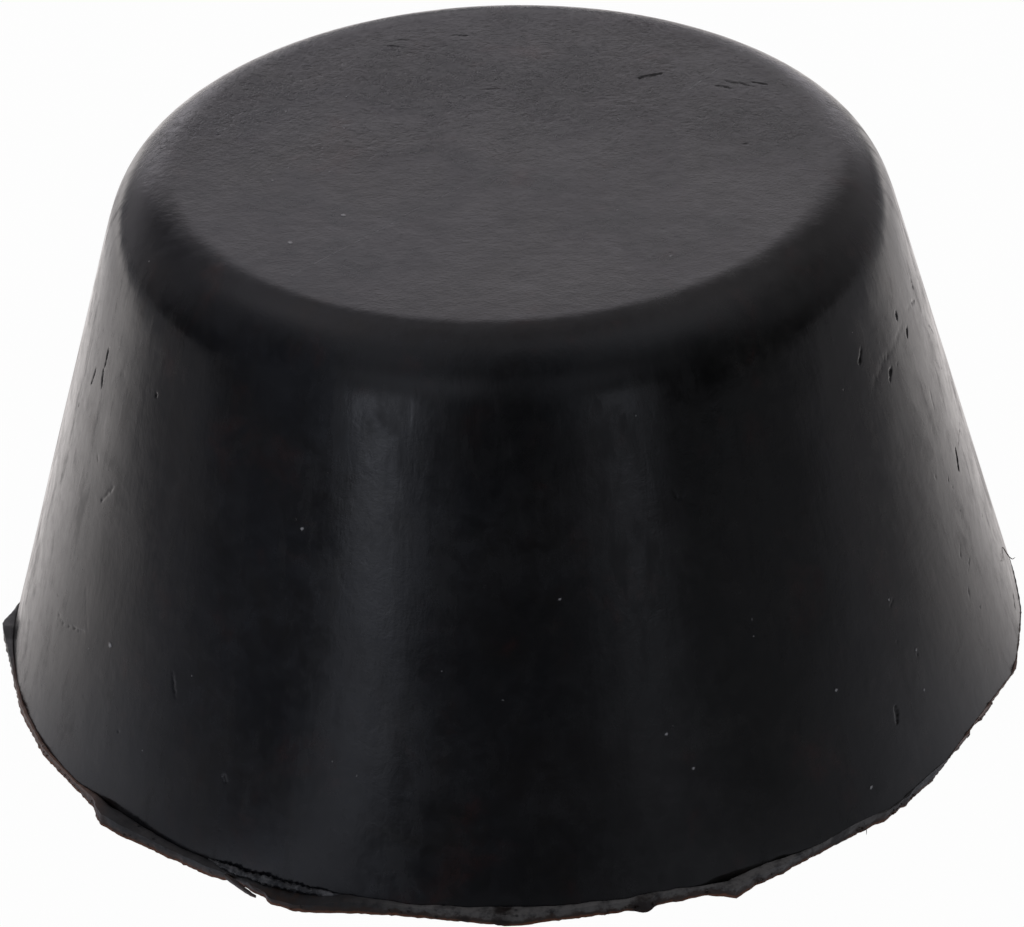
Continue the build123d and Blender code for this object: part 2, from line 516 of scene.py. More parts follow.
def moulded_rubber(effects):
    """Black rubber as it left the mould: half gloss, grained, with bloom, drag lines, pits and dust."""
    material, g, shader, _ = start_material("moulded_rubber")
    mm = in_millimetres(g)
    x, y, z = g.split(mm)
    crown = g.ramp(z, 49.6, 52.0)
    wall = 1.0 - crown
    nick = g.ramp(g.field("ShaderNodeAttribute", output=2, attribute_name="nick"), 0.05, 0.9)
    speck = g.ramp(g.field("ShaderNodeAttribute", output=2, attribute_name="speck"), 0.05, 0.45)

    grain = g.use(effects["grain"], {"Place": mm, "Size": 0.6})["Height"]
    leather = g.use(effects["leather"], {"Place": mm, "Fold Size": 1.0, "Patch Size": 11.0})
    smears = g.use(effects["drag"], {"Place": mm, "Line Width": 1.7, "Line Length": 4.5})
    broad_drag = g.use(effects["drag"], {"Place": mm, "Line Width": 3.2, "Line Length": 34.0})
    bloom = g.use(effects["bloom"], {"Place": mm, "Cloud Size": 10.0})
    pits = g.use(effects["speckle"], {"Place": mm, "Cell Size": 3.4, "Spot Size": 0.16, "Share": 0.30})["Spot"]
    dust = g.use(effects["speckle"], {"Place": g.vector("ADD", mm, (2.0, 5.0, 1.0)), "Cell Size": 2.6,
                                      "Spot Size": 0.10, "Share": 0.16})["Spot"]
    dust = g.most(dust * 0.45, speck)

    side = g.ramp(g.math("ABSOLUTE", x), 22.0, 40.0) * wall
    dull = spotted(g, mm, dull_spots, bloom["Film"])

    scuff = 0.0
    for start, end, width in scuffs:
        scuff = g.use(effects["hairline"], {"Place": mm, "Start": start, "End": end, "Width": width})["Line"] + scuff

    # Bluish on the left, olive on the right, with warm and rusty blotches over both
    ground = mix_colour(g, g.ramp(x, -25.0, 35.0), (0.0034, 0.0042, 0.0072, 1), (0.0062, 0.0060, 0.0040, 1))
    tint = g.use(effects["tint"], {"Place": mm, "Blotch Size": 12.0, "Cool": ground,
                                   "Warm": (0.0080, 0.0068, 0.0062, 1), "Rust": (0.0420, 0.0125, 0.0090, 1)})["Color"]
    film = bloom["Film"] * bloom["Mottle"]
    grime = mix_colour(g, g.ramp(x, -25.0, 35.0), (0.025, 0.028, 0.035, 1), (0.036, 0.034, 0.029, 1))
    colour = mix_colour(g, film * 0.60, tint, grime)
    # Painted sheen: the left and right of the wall get a lighter, warm and rusty mottled colour for the light their
    # sides catch at grazing angles; its blotches also vary the rubber's tone
    side_sheen_and_blotches = g.use(effects["tint"], {
        "Place": mm, "Blotch Size": 6.5, "Cool": (0.0040, 0.0045, 0.0060, 1),
        "Warm": (0.0370, 0.0340, 0.0330, 1), "Rust": (0.0800, 0.0420, 0.0300, 1)})["Color"]
    for part, layer in (
        (side * (bloom["Mottle"] * 0.5 + 0.2), side_sheen_and_blotches),
        (dull * 0.8, (0.0010, 0.0010, 0.0012, 1)),
        (broad_drag["Lines"] * wall * 0.25, (0.026, 0.024, 0.022, 1)),
        (smears["Lines"] * wall * 0.50, (0.0035, 0.0030, 0.0026, 1)),
        # Painted shade: the pits are coloured darker than the rubber round them
        (pits * 0.8, (0.003, 0.003, 0.003, 1)),
        # Painted shade: marks are coloured darker the deeper they are pressed
        (nick * 0.6, (0.0050, 0.0038, 0.0032, 1)),
        (scuff * 0.7, (0.12, 0.12, 0.12, 1)),
        (dust * 0.95, (0.62, 0.61, 0.60, 1)),
    ):
        colour = mix_colour(g, part, colour, layer)

    far = g.ramp(y, -10.0, 12.0) * crown
    rough = bloom["Film"] * 0.12 + bloom["Mottle"] * 0.11 + smears["Lines"] * wall * 0.16 + 0.085
    rough = rough + leather["Patch"] * far * 0.04 + nick * 0.25 + dust * 0.4 + scuff * 0.05 + dull * 0.11

    wrinkles = leather["Height"] * (leather["Patch"] * 0.6 + 0.4) * far * 0.105
    lines = (smears["Height"] * 0.026 + broad_drag["Height"] * 0.018 + bloom["Mottle"] * 0.0060
             + bloom["Film"] * side * 0.022) * wall
    height = grain * g.between(0.0045, 0.042, crown) + wrinkles + lines - pits * 0.06 + dust * 0.03
    paint(g, shader, colour, rough, height)
    return material


def cut_rubber(effects):
    """Rubber laid bare by the knife: matt, torn along its foot, brown where it is thin."""
    material, g, shader, _ = start_material("cut_rubber")
    mm = in_millimetres(g)
    x, y, z = g.split(mm)
    up = g.split(Field(g, g.node("ShaderNodeNewGeometry").outputs["Normal"]))[2]
    top = g.ramp(up, 0.45, 0.85)
    uneven = g.noise(mm, 1.1, 4.0, 0.65)
    fringe = 1.0 - g.ramp(z + (uneven - 0.5) * 1.3, 0.42, 0.84)
    rim = 1.0 - g.ramp(z + (uneven - 0.5) * 0.6, 0.12, 0.30)
    # Brown where the blade ran close to the wall and left the rubber thin
    aside = g.math("ABSOLUTE", x)
    thin = g.ramp(aside, 39.0, 42.5) * (1.0 - g.ramp(aside, 49.0, 50.2)) * (1.0 - g.ramp(y, -3.0, 3.0) * 0.6)
    # Painted light: a pale patch on the cut edge at the front, where the band shows lighter in the light that falls
    # there
    from_front_light = g.vector("DISTANCE", mm, (12.0, -49.0, 0.8), output=1)
    front_light_patch = (1.0 - g.ramp(from_front_light, 19.0, 31.0)) * g.ramp(uneven, 0.25, 0.6)

    grain = g.use(effects["grain"], {"Place": mm, "Size": 0.55})["Height"]
    bloom = g.use(effects["bloom"], {"Place": mm, "Cloud Size": 3.5})
    tint = g.use(effects["tint"], {"Place": mm, "Blotch Size": 4.0, "Cool": (0.019, 0.0195, 0.020, 1),
                                   "Warm": (0.034, 0.030, 0.028, 1), "Rust": (0.065, 0.036, 0.024, 1)})["Color"]
    pits = g.use(effects["speckle"], {"Place": mm, "Cell Size": 1.1, "Spot Size": 0.20, "Share": 0.35})["Spot"]
    # Painted light: the pale bloom film is laid only on faces that look up, so the tops show lighter as if lit from
    # above; the film itself is the rubber's bloom
    colour = mix_colour(g, bloom["Film"] * top * 0.6, tint, (0.085, 0.080, 0.078, 1))
    for part, layer in (
        # painted light on the front of the cut edge
        (front_light_patch * 0.85, (0.250, 0.238, 0.218, 1)),
        (thin * g.ramp(uneven, 0.3, 0.7, 0.5, 1.0), (0.280, 0.160, 0.112, 1)),
        (fringe * 0.85, (0.060, 0.034, 0.022, 1)),
        (rim * 0.9, (0.260, 0.100, 0.045, 1)),
        # Painted shade: the cut rubber is darkened at the far left end of the foot
        (g.ramp(-x, 49.2, 50.3) * 0.75, (0.006, 0.0055, 0.005, 1)),
        (spotted(g, mm, dark_edge_spots, uneven) * 0.9, (0.016, 0.009, 0.006, 1)),
        (pits * 0.7, (0.004, 0.0035, 0.003, 1)),
    ):
        colour = mix_colour(g, part, colour, layer)
    rough = bloom["Mottle"] * 0.14 + uneven * 0.16 + 0.30
    paint(g, shader, colour, rough, grain * 0.05 + uneven * 0.05 - pits * 0.08, 0.9)
    return material


def rolled_rubber(effects):
    """The strip rolled up by the knife: stretched thin and shiny in patches, with pale blotches painted on as glints.
    """
    material, g, shader, _ = start_material("rolled_rubber")
    mm = in_millimetres(g)
    grain = g.use(effects["grain"], {"Place": mm, "Size": 0.35})["Height"]
    bloom = g.use(effects["bloom"], {"Place": mm, "Cloud Size": 1.6})
    # Painted highlights: the pale blotches stand in for glints on the strip's facets
    tint = g.use(effects["tint"], {"Place": mm, "Blotch Size": 1.3, "Cool": (0.035, 0.037, 0.041, 1),
                                   "Warm": (0.190, 0.187, 0.187, 1), "Rust": (0.560, 0.550, 0.540, 1)})["Color"]
    colour = mix_colour(g, bloom["Film"] * 0.65, tint, (0.010, 0.010, 0.011, 1))
    paint(g, shader, colour, bloom["Mottle"] * 0.15 + 0.14, grain * 0.10)
    return material


# ---- The pad's surface ----

def knife_stroke_group():
    """How far from the axis one straight stroke lets the rubber reach, and how high it shaves."""
    inputs = "Bearing, Height, Stroke Bearing, Stroke Distance, Blade Slope, Wall Foot, Wall Taper"
    g, given, out = new_group("Knife stroke", "GeometryNodeTree", inputs, "Reach, Shaved Height")
    facing = g.most(g.math("COSINE", given["Bearing"] - given["Stroke Bearing"]), 0.05)
    distance, slope = given["Stroke Distance"], given["Blade Slope"]
    g.feed(out.inputs["Reach"], (distance + given["Height"] * slope) / facing)
    shaved = (given["Wall Foot"] - distance / facing) / (given["Wall Taper"] + slope / facing)
    g.feed(out.inputs["Shaved Height"], shaved)
    return g.tree


def trimmed_outline_group():
    """The foot's outline on a bearing at a height, after every stroke of the knife."""
    inputs = "Bearing, Height, Wall Foot, Wall Taper"
    g, given, out = new_group("Trimmed outline", "GeometryNodeTree", inputs, "Reach, Shaved Height")
    stroke = knife_stroke_group()
    reach, shaved = 1.0, 0.0
    for bearing, distance, lean in knife_strokes:
        cut = g.use(stroke, {**given, "Stroke Bearing": radians(bearing),
                             "Stroke Distance": distance * MM, "Blade Slope": tan(radians(lean))})
        reach = g.least(cut["Reach"], reach)
        shaved = g.most(cut["Shaved Height"], shaved)
    g.feed(out.inputs["Reach"], reach)
    g.feed(out.inputs["Shaved Height"], shaved)
    return g.tree


def rag_group():
    """How far one tooth of missed rubber stands past the stroke, on a bearing."""
    inputs = "Bearing, Rag Bearing, Half Width, Length"
    g, given, out = new_group("Rag", "GeometryNodeTree", inputs, "Reach")
    apart = g.math("ABSOLUTE", g.math("SINE", (given["Bearing"] - given["Rag Bearing"]) * 0.5)) * 2.0
    g.feed(out.inputs["Reach"], given["Length"] * g.most(1.0 - apart / given["Half Width"], 0.0))
    return g.tree


def relief_group():
    """How deep the surface lies under its true shape: the mould's waviness, wrinkles and drag lines."""
    inputs = "Place:Vector, Waviness, Wrinkle Depth, Drag Depth, Dish"
    g, given, out = new_group("Surface relief", "GeometryNodeTree", inputs, "Depth")
    mm = g.scaled(given["Place"], 1 / MM)
    x, y, z = g.split(mm)
    crown = g.ramp(z, 49.5, 52.0)
    wave = g.noise(mm, 0.085, 2.0) * given["Waviness"] * g.between(1.0, 0.35, crown)
    middle = 1.0 - g.ramp(g.math("SQRT", x * x + y * y), 14.0, 30.0)
    dish = crown * (0.35 + middle * 0.65) * given["Dish"]
    # Fine leathery wrinkles where the rubber shrank against the mould, on the far half of the crown
    far = g.ramp(y, -4.0, 9.0) * g.ramp(g.noise(mm, 0.09, 2.0), 0.38, 0.62, 0.25, 1.0)
    stretched = g.vector("MULTIPLY", mm, (1.1, 0.8, 1.0))
    folds = g.noise(stretched, 0.85, 3.0, 0.6, 0.2)
    wrinkle = folds * given["Wrinkle Depth"] * far * crown
    # Lines where the rubber dragged along the mould as it came out
    around = g.vector("NORMALIZE", g.combine(x, y, 0.0))
    along = g.combine(0.0, 0.0, z * 0.0022)
    lines = g.noise(g.vector("ADD", around, along), 26.0, 3.0, 0.6)
    drag = lines * given["Drag Depth"] * (1.0 - crown)
    g.feed(out.inputs["Depth"], wave + wrinkle + drag + dish)
    return g.tree


def pad_tree():
    """The whole surface of the pad, band by band from the centre of the foot to that of the crown."""
    inputs = ("Foot Radius, Crown Corner, Height, Rounding, Flash Thickness, Crease Depth, Raggedness, Easing, "
              "Waviness, Wrinkle Depth, Drag Depth, Dish, Box Low:Vector, Box High:Vector, Columns:Int, "
              "Rubber:Material, Cut Rubber:Material")
    g, given, out = new_group("Turned and trimmed pad", "GeometryNodeTree", inputs, "Geometry:Geometry")
    g.tree.is_modifier = True
    outline, rag, relief = trimmed_outline_group(), rag_group(), relief_group()

    foot, height, rounding = given["Foot Radius"], given["Height"], given["Rounding"]
    flash, easing = given["Flash Thickness"], given["Easing"]
    rise = height - flash
    taper = (foot - given["Crown Corner"]) / rise
    lean = g.math("ARCTANGENT", taper)
    lean_cos, lean_sin = g.math("COSINE", lean), g.math("SINE", lean)
    wall_foot = foot + taper * flash
    flat_radius = foot - (rounding + (rise - rounding) * lean_sin) / lean_cos
    shoulder_foot = height - rounding + rounding * lean_sin
    low_x, low_y, _ = g.split(given["Box Low"])
    high_x, high_y, _ = g.split(given["Box High"])

    def within_box(radius, bearing):
        """radius on a bearing, held inside the box that the solid fills."""
        across, along = g.math("COSINE", bearing), g.math("SINE", bearing)
        room_x = g.between(-low_x, high_x, g.math("GREATER_THAN", across, 0.0))
        room_y = g.between(-low_y, high_y, g.math("GREATER_THAN", along, 0.0))
        room_x = room_x / g.most(g.math("ABSOLUTE", across), 0.01)
        room_y = room_y / g.most(g.math("ABSOLUTE", along), 0.01)
        return g.least(radius, g.least(room_x, room_y))

    def summed(places, bearing):
        """What a list of teeth or gaps adds up to on a bearing."""
        total = 0.0
        for at, half_width, length in places:
            values = {"Bearing": bearing, "Rag Bearing": radians(at), "Half Width": radians(half_width),
                      "Length": length * MM}
            total = g.use(rag, values)["Reach"] + total
        return total

    def band(rows, coarse, shape):
        """One ring of surface. coarse(part) says how many columns are drawn together."""
        grid = g.node("GeometryNodeMeshGrid", {"Size X": 1.0, "Size Y": 1.0, "Vertices X": given["Columns"] + 1.0,
                                               "Vertices Y": rows})
        x, y, _ = g.split(g.field("GeometryNodeInputPosition"))
        part = y + 0.5
        step = coarse(part)
        column = g.math("ROUND", (x + 0.5) * given["Columns"])
        kept = g.math("FLOOR", column / step + 0.001) * step
        bearing = kept / given["Columns"] * (2 * pi)
        radius, level = shape(bearing, part)
        place = g.around(radius, bearing, level)
        moved = g.node("GeometryNodeSetPosition", {"Geometry": grid.outputs["Mesh"], "Position": place})
        return moved.outputs[0]

    def settle(radius, level, out_part, up_part, bearing, eased=0.0):
        """A point drawn in under the true surface by the depth of the relief there."""
        place = g.around(radius, bearing, level)
        depth = g.use(relief, {"Place": place, "Waviness": given["Waviness"], "Drag Depth": given["Drag Depth"],
                               "Wrinkle Depth": given["Wrinkle Depth"], "Dish": given["Dish"]})["Depth"]
        depth = depth + eased
        return radius - depth * out_part, level - depth * up_part

    def edge(bearing):
        """The cut edge on a bearing: its radius at the floor and at its top, its top's height, the
        radius and height of the crease, and how open the crease is."""
        circle = g.combine(g.math("COSINE", bearing), g.math("SINE", bearing), 0.0)
        sag = g.noise(circle, 7.0, 3.0)
        at_floor = g.use(outline, {"Bearing": bearing, "Height": 0.0, "Wall Foot": wall_foot, "Wall Taper": taper})
        full = flash * g.ramp(sag, 0.3, 0.7, 0.82, 1.08) + summed(thinning, bearing)
        top = g.most(full, at_floor["Shaved Height"])
        at_top = g.use(outline, {"Bearing": bearing, "Height": top, "Wall Foot": wall_foot, "Wall Taper": taper})
        missed = summed(rags, bearing)
        wall_here, _ = settle(wall_foot - taper * top, top, lean_cos, lean_sin, bearing)
        torn = g.noise(circle, 60.0, 4.0, 0.65) - 0.45
        fine = g.noise(circle, 290.0, 3.0, 0.7) - 0.45
        ragged = (torn + fine * 1.2) * given["Raggedness"]
        floor_radius = within_box(at_floor["Reach"] + missed + ragged, bearing)
        width = at_top["Reach"] - wall_here
        top_radius = within_box(at_top["Reach"] + missed * 0.9 + ragged * 0.45, bearing)
        top_radius = g.most(top_radius, wall_here)
        opening = g.ramp(width, 0.12 * MM, 0.50 * MM)
        return floor_radius, top_radius, top, wall_here, opening, circle

    def underside(bearing, part):
        floor_radius = edge(bearing)[0]
        return floor_radius * g.math("POWER", part, 0.45), part * 0.0

    def cut_face(bearing, part):
        floor_radius, top_radius, top, _, _, circle = edge(bearing)
        level = top * part
        layered = g.vector("ADD", circle, g.combine(0.0, 0.0, level * 45.0))
        chatter = g.noise(layered, 110.0, 3.0, 0.7) - 0.5
        # The lower half tore as the blade came through, so it is rougher and stands out less
        torn = (1.0 - g.ramp(part, 0.25, 0.6)) * (g.noise(layered, 190.0, 3.0, 0.7) - 0.35)
        ends = g.least(part * 5.0, 1.0) * g.least((1.0 - part) * 5.0, 1.0)
        inward = (chatter * 0.7 + torn * 0.9) * given["Raggedness"] * ends
        return within_box(g.between(floor_radius, top_radius, part) - inward, bearing), level

    def crease_depth(bearing, opening):
        circle = g.combine(g.math("COSINE", bearing), g.math("SINE", bearing), 0.3)
        uneven = g.ramp(g.noise(circle, 75.0, 4.0, 0.7), 0.35, 0.65, 0.15, 1.0)
        gape = summed(gaping, bearing) * g.ramp(g.noise(circle, 130.0, 3.0, 0.7), 0.3, 0.6, 0.3, 1.0)
        return g.most(given["Crease Depth"] * uneven + gape, 0.008 * MM) * opening

    def flash_top(bearing, part):
        _, top_radius, top, wall_here, opening, _ = edge(bearing)
        dip = crease_depth(bearing, opening)
        near = 1.0 - (1.0 - part) * (1.0 - part)
        radius = g.between(top_radius, wall_here - dip * 0.4, near)
        lumps = g.noise(g.combine(radius / MM, bearing * 50.0, 0.0), 0.9, 3.0) - 0.5
        into_crease = 1.0 - g.ramp(radius - wall_here, dip * -0.4, dip * 0.35 + 0.1 * MM)
        bulge = lumps * 0.16 * MM + 0.08 * MM
        level = top - dip * into_crease + bulge * opening * part * (1.0 - part) * 4.0
        return radius, level

    def wall(bearing, part):
        _, _, top, wall_here, opening, _ = edge(bearing)
        dip = crease_depth(bearing, opening)
        level = g.between(top, shoulder_foot, g.math("POWER", part, 1.35))
        radius = wall_foot - taper * level
        lip = 1.0 - g.ramp(level - top, 0.0, 0.3 * MM)
        # The straight wall turns into the shoulder little by little
        begun = g.most((level - shoulder_foot) / lean_cos + easing * 0.5, 0.0)
        eased = begun * begun * begun / (easing * rounding * 6.0)
        radius, level = settle(radius, level, lean_cos, lean_sin, bearing, eased)
        radius = radius - lip * lip * dip * 0.3
        at_crease = g.math("LESS_THAN", part, 1e-4)
        return (g.between(radius, wall_here - dip * 0.4, at_crease), g.between(level, top - dip, at_crease))

    def shoulder(bearing, part):
        turn = g.between(lean, pi / 2, part)
        turn_cos, turn_sin = g.math("COSINE", turn), g.math("SINE", turn)
        radius = flat_radius + rounding * turn_cos
        level = height - rounding + rounding * turn_sin
        along = rounding * (turn - lean)
        near = g.least(along, easing * 0.5)
        begun = near + easing * 0.5
        eased = (begun * begun * begun / (easing * 6.0) - near * near * 0.5) / rounding
        eased = eased * (1.0 - g.ramp(along, easing * 0.5, rounding * (pi / 2 - lean)))
        return settle(radius, level, turn_cos, turn_sin, bearing, eased)

    def crown(bearing, part):
        radius = flat_radius * (1.0 - part)
        return settle(radius, height + radius * 0.0, 0.0, 1.0, bearing)

    def at_first_row(part):
        return 1.0 + g.math("GREATER_THAN", part, 1e-4)

    def underside_columns(part):
        return 1.0 + g.math("LESS_THAN", part, 0.999) * 7.0

    def crown_columns(part):
        inner, middle, centre = (g.math("GREATER_THAN", part, limit) for limit in (0.5, 0.75, 0.88))
        return 2.0 + inner * 2.0 + middle * 4.0 + centre * 8.0

    def every(count):
        return lambda part: part * 0.0 + count

    bands = {
        "underside": band(12, underside_columns, underside),
        "cut_face": band(8, every(1.0), cut_face),
        "flash_top": band(10, every(1.0), flash_top),
        "wall": band(46, at_first_row, wall),
        "shoulder": band(20, every(2.0), shoulder),
        "crown": band(78, crown_columns, crown),
    }
    cut = g.node("GeometryNodeJoinGeometry")
    moulded = g.node("GeometryNodeJoinGeometry")
    for name, geometry in bands.items():
        g.feed((cut if name in ("cut_face", "flash_top") else moulded).inputs[0], geometry)
    painted = g.node("GeometryNodeJoinGeometry")
    for joined, finish in ((cut, "Cut Rubber"), (moulded, "Rubber")):
        set_finish = g.node("GeometryNodeSetMaterial", {"Geometry": joined.outputs[0], "Material": given[finish]})
        g.feed(painted.inputs[0], set_finish.outputs[0])
    whole = g.node("GeometryNodeRealizeInstances", {"Geometry": painted.outputs[0]})
    welded = g.node("GeometryNodeMergeByDistance", {"Geometry": whole.outputs[0], "Distance": 0.004 * MM})
    smooth = g.node("GeometryNodeSetShadeSmooth", {"Geometry": welded.outputs[0]})
    g.feed(out.inputs["Geometry"], smooth.outputs[0])
    return g.tree


def make_pad(rubber, cut):
    values = {"Foot Radius": foot_radius, "Crown Corner": crown_corner, "Height": pad_height,
              "Rounding": crown_rounding, "Flash Thickness": flash_thickness, "Crease Depth": 0.06 * MM,
              "Raggedness": 0.40 * MM, "Easing": 5.0 * MM, "Waviness": 0.09 * MM, "Wrinkle Depth": 0.045 * MM,
              "Drag Depth": 0.022 * MM, "Dish": 0.10 * MM, "Box Low": cad_box[0], "Box High": cad_box[1],
              "Columns": columns, "Rubber": rubber, "Cut Rubber": cut}
    return grown_mesh("rubber_pad_skin", pad_tree(), values)


# ---- Marks and dents ----

wall_taper = (foot_radius - crown_corner) / (pad_height - flash_thickness)
wall_lean = atan2(wall_taper, 1.0)
rounding_level = pad_height - crown_rounding
crown_flat = foot_radius - (crown_rounding + (rounding_level - flash_thickness) * sin(wall_lean)) / cos(wall_lean)


def on_wall(bearing, level):
    """A point of the wall or shoulder and its outward direction, from degrees and a height in mm."""
    b, z = radians(bearing), level * MM
    turn = wall_lean
    if z > rounding_level:
        turn = max(turn, asin(min(1.0, (z - rounding_level) / crown_rounding)))
    radius = foot_radius + wall_taper * (flash_thickness - z)
    if turn > wall_lean:
        radius = crown_flat + crown_rounding * cos(turn)
    outward = Vector((cos(b) * cos(turn), sin(b) * cos(turn), sin(turn)))
    return Vector((radius * cos(b), radius * sin(b), z)), outward


def on_crown(x, y):
    return Vector((x * MM, y * MM, pad_height)), Vector((0.0, 0.0, 1.0))


mark_depth, softness = 0.55, 1.35  # how deep and wide a mark's groove is pressed, of its listed size
fray = 0.13  # mm by which the edges of a mark stray
broad_mark = 0.27 * MM  # half width above which a mark is only a shallow smear
# The darkness that a mark's colour gets from its depth is painted shade in its groove
full_nick = 0.32 * MM  # depth from which a mark looks as dark as it can
# Waves per metre of the noise in a mark's edges, its floor and the dust
fray_scale, fine_fray_scale, groove_scale, dust_scale = 1500.0, 4500.0, 2600.0, 4000.0
fray_seed = 11
# How far from the marks each pass refines the skin, and the longest edge it leaves there
refinements = ((0.70 * MM, 0.55 * MM), (0.45 * MM, 0.28 * MM), (0.28 * MM, 0.17 * MM))
sharp_angle = 50  # degrees


def all_marks():
    """Every mark as its two ends, outward direction, half width and depth."""
    marks = []
    for place, rows in ((on_wall, wall_marks), (on_crown, crown_marks)):
        for a, b, c, d, width, depth in rows:
            start, outward = place(a, b)
            end, _ = place(c, d)
            marks.append((start, end, outward, width * 0.5 * MM, depth * MM))
    return marks


def all_dents():
    """Every dent as its middle, outward direction, radius and depth."""
    dents = []
    for place, rows in ((on_wall, wall_dents), (on_crown, crown_dents)):
        for a, b, radius, depth in rows:
            middle, outward = place(a, b)
            dents.append((middle, outward, radius * MM, depth * MM))
    return dents


def all_specks():
    """Every speck of dust as its middle, outward direction and radius."""
    specks = []
    for place, rows in ((on_wall, wall_specks), (on_crown, crown_specks)):
        for a, b, size in rows:
            middle, outward = place(a, b)
            specks.append((middle, outward, size * 0.6 * MM))
    return specks


def distance_to_line(point, start, end):
    """Distance to a line between two points, and how far along it the nearest point lies, 0 to 1."""
    line = end - start
    length = line.length
    along = 0.5 if length < 1e-6 else min(1.0, max(0.0, (point - start).dot(line) / length ** 2))
    return (point - start - line * along).length, along


def faces_near(bm, marks, margin):
    """The faces that lie within a margin of any mark."""
    tree = KDTree(len(bm.faces))
    for face in bm.faces:
        tree.insert(face.calc_center_median(), face.index)
    tree.balance()
    near = set()
    for start, end, _, half_width, _ in marks:
        reach = half_width + margin
        for centre, index, _ in tree.find_range((start + end) / 2, (end - start).length / 2 + reach):
            if distance_to_line(centre, start, end)[0] < reach:
                near.add(index)
    return near


def press_marks(pad):
    """Refines the skin round each mark, then presses the marks and dents into it. The attributes nick
    and speck tell the material how deep in a mark a point lies, and whether dust lies on it."""
    lattice.seed_set(fray_seed)  # noise_vector would differ from run to run without it
    marks, dents, specks = all_marks(), all_dents(), all_specks()
    refined = marks + [(middle, middle, outward, radius, 0.0) for middle, outward, radius in specks]
    bm = bmesh.new()
    bm.from_mesh(pad.data)
    for margin, longest in refinements:
        bm.faces.ensure_lookup_table()
        bm.faces.index_update()
        bm.edges.index_update()
        near = faces_near(bm, refined, margin)
        edges = {edge for index in near for edge in bm.faces[index].edges if edge.calc_length() > longest}
        edges = sorted(edges, key=lambda edge: edge.index)
        bmesh.ops.subdivide_edges(bm, edges=edges, cuts=1, use_grid_fill=True)
    bmesh.ops.triangulate(bm, faces=[face for face in bm.faces if len(face.verts) > 4])
    nick, speck = bm.verts.layers.float.new("nick"), bm.verts.layers.float.new("speck")
    bm.verts.ensure_lookup_table()
    bm.verts.index_update()
    tree = KDTree(len(bm.verts))
    for vert in bm.verts:
        tree.insert(vert.co, vert.index)
    tree.balance()
    shift = {}
    for start, end, outward, half_width, depth in marks:
        reach = (end - start).length / 2 + half_width * 3.0
        for place, index, _ in tree.find_range((start + end) / 2, reach):
            stray = lattice.noise_vector(place * fray_scale) + lattice.noise_vector(place * fine_fray_scale) * 0.5
            frayed = place + fray * MM * stray
            gap, along = distance_to_line(frayed, start, end)
            slender = 0.30 + 0.70 * (1.0 - (2.0 * along - 1.0) ** 2) ** 0.5
            part = gap / (half_width * softness * slender)
            if part < 1.0:
                groove = (0.5 + 0.5 * cos(pi * part)) * (0.75 + 0.9 * lattice.noise(place * groove_scale))
                pressed = mark_depth * (0.50 if half_width > broad_mark else 1.0)
                shift[index] = shift.get(index, Vector()) - outward * depth * pressed * groove
                vert = bm.verts[index]
                vert[nick] = max(vert[nick], groove * max(0.25, min(1.0, depth / full_nick)))
    for middle, outward, radius, depth in dents:
        for place, index, distance in tree.find_range(middle, radius):
            bowl = 0.5 + 0.5 * cos(pi * distance / radius)
            shift[index] = shift.get(index, Vector()) - outward * depth * bowl
    for middle, outward, radius in specks:
        for place, index, distance in tree.find_range(middle, radius * 1.5):
            part = distance * (1.0 + 0.4 * lattice.noise(place * dust_scale)) / (radius * 1.3)
            if part < 1.0:
                bm.verts[index][speck] = 1.0 - part
                shift[index] = shift.get(index, Vector()) + outward * radius * 0.25 * (1.0 - part)
    for index, move in shift.items():
        place = bm.verts[index].co + move
        place.z = min(place.z, pad_height)
        bm.verts[index].co = place
    bm.to_mesh(pad.data)
    bm.free()
    pad.data.set_sharp_from_angle(angle=radians(sharp_angle))
    # The seam between moulded and cut rubber stays crisp
    finish_of = {}
    for face in pad.data.polygons:
        for edge in face.edge_keys:
            finish_of.setdefault(edge, set()).add(face.material_index)
    for edge in pad.data.edges:
        if len(finish_of[tuple(sorted(edge.vertices))]) > 1:
            edge.use_edge_sharp = True


# ---- Crumbs and strips ----

